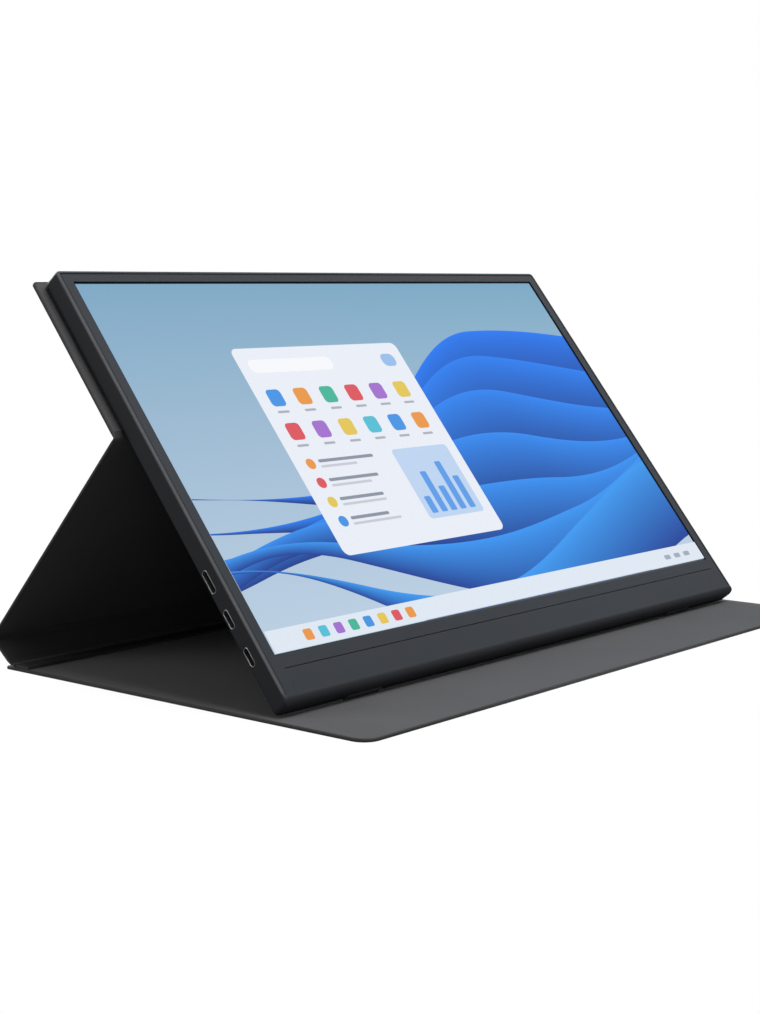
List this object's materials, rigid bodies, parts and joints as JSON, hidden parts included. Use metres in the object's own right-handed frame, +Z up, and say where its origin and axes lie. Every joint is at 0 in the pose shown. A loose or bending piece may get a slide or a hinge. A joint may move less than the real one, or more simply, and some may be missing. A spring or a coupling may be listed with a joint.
{
  "type": "portable monitor",
  "caption": "Flat portable monitor leaning on a folding cover whose panels make a stand, with side sockets, a menu wheel and a power button.",
  "frame": {"origin": "middle of the standing object's footprint, on the table", "axes": "+X to the viewer's right along the slab, -Y towards the viewer, +Z up"},
  "size_m": [0.37, 0.23, 0.1832],
  "materials": {
    "housing_metal": "fine satin dark slate coating",
    "bezel_plastic": "fine-grained dark slate",
    "frame_plastic": "moulded black",
    "tray_metal": "plain rolled sheet",
    "white_film": "smooth white film",
    "clear_plastic": "clear polished sheet",
    "display_glass": "dark glass with an anti-glare face",
    "display_surface": "anti-glare film over the lit picture",
    "circuit_board": "green solder mask",
    "socket_metal": "bright stamped steel",
    "socket_plastic": "moulded black",
    "cable_plastic": "flat white ribbon",
    "magnet_metal": "nickel plating",
    "foot_rubber": "soft matt black",
    "button_plastic": "satin dark slate",
    "magnet_rubber": "flexible magnet sheet",
    "cover_leather": "dark grey grained synthetic leather",
    "stiffener_board": "grey pressed board",
    "cover_lining": "short-napped grey microfibre"
  },
  "bodies": {
    "flap": {"flap_skin": "cover_leather", "flap_stiffener": "stiffener_board", "flap_lining": "cover_lining", "flap_magnets": "magnet_metal", "spine_tab": "cover_leather", "flap_crease": "cover_leather"},
    "spine": {"spine_skin": "cover_leather", "spine_stiffener": "stiffener_board", "spine_lining": "cover_lining", "spine_crease": "cover_leather"},
    "rear_panel": {"rear_skin": "cover_leather", "rear_stiffener": "stiffener_board", "rear_lining": "cover_lining", "top_crease": "cover_leather"},
    "upper_panel": {"upper_skin": "cover_leather", "upper_stiffener": "stiffener_board", "upper_lining": "cover_lining", "magnet_sheet": "magnet_rubber"},
    "monitor": {"rear_housing": "housing_metal", "middle_frame": "frame_plastic", "front_bezel": "bezel_plastic", "chin_plate": "bezel_plastic", "panel_tray": "tray_metal", "reflector_sheet": "white_film", "led_bar": "circuit_board", "light_guide": "clear_plastic", "optical_films": "white_film", "display_glass": "display_glass", "polariser": "display_surface", "usb_c_lower_shell": "socket_metal", "usb_c_lower_tongue": "socket_plastic", "usb_c_upper_shell": "socket_metal", "usb_c_upper_tongue": "socket_plastic", "mini_hdmi_shell": "socket_metal", "mini_hdmi_tongue": "socket_plastic", "main_board": "circuit_board", "shield_can": "socket_metal", "key_board": "circuit_board", "driver_board": "circuit_board", "display_cable": "cable_plastic", "board_screws": "socket_metal", "wheel_pin": "socket_metal", "power_switch": "socket_plastic", "left_speaker": "socket_plastic", "right_speaker": "socket_plastic", "housing_magnets": "magnet_metal", "left_foot": "foot_rubber", "right_foot": "foot_rubber"},
    "power_button": {"power_button": "button_plastic"},
    "menu_wheel": {"menu_wheel": "button_plastic"}
  },
  "joints": [
    {"name": "stand_fold", "type": "hinge", "parent": "spine", "child": "rear_panel", "pos_m": [0, 0.11586, 0.01334], "axis": [1, 0, 0], "range_deg": [-92.2, 0], "deforming": ["spine_crease"]},
    {"name": "flap_fold", "type": "hinge", "parent": "flap", "child": "spine", "pos_m": [0, 0.10276, 0.0025], "axis": [1, 0, 0], "range_deg": [-39.6, 0], "deforming": ["flap_crease"]},
    {"name": "top_fold", "type": "hinge", "parent": "rear_panel", "child": "upper_panel", "pos_m": [0, 0.02744, 0.11155], "axis": [1, 0, 0], "range_deg": [0, 80.4], "deforming": ["top_crease"]},
    {"name": "monitor_release", "type": "slide", "parent": "upper_panel", "child": "monitor", "axis": [0, -0.7837, 0.6211], "range_m": [0, 0.06]},
    {"name": "power_press", "type": "slide", "parent": "monitor", "child": "power_button", "axis": [-1, 0, 0], "range_m": [0, 0.0004], "stiffness_N_per_m": 2500},
    {"name": "menu_turn", "type": "hinge", "parent": "monitor", "child": "menu_wheel", "pos_m": [0.1753, -0.03914, 0.03487], "axis": [0, -0.7837, 0.6211], "range_deg": [-10, 10], "stiffness_Nm_per_rad": 0.02}
  ],
  "couplings": [
    {"joint": "flap_fold", "follows": "stand_fold", "ratio": 0.42858},
    {"joint": "top_fold", "follows": "stand_fold", "ratio": -0.87013}
  ]
}
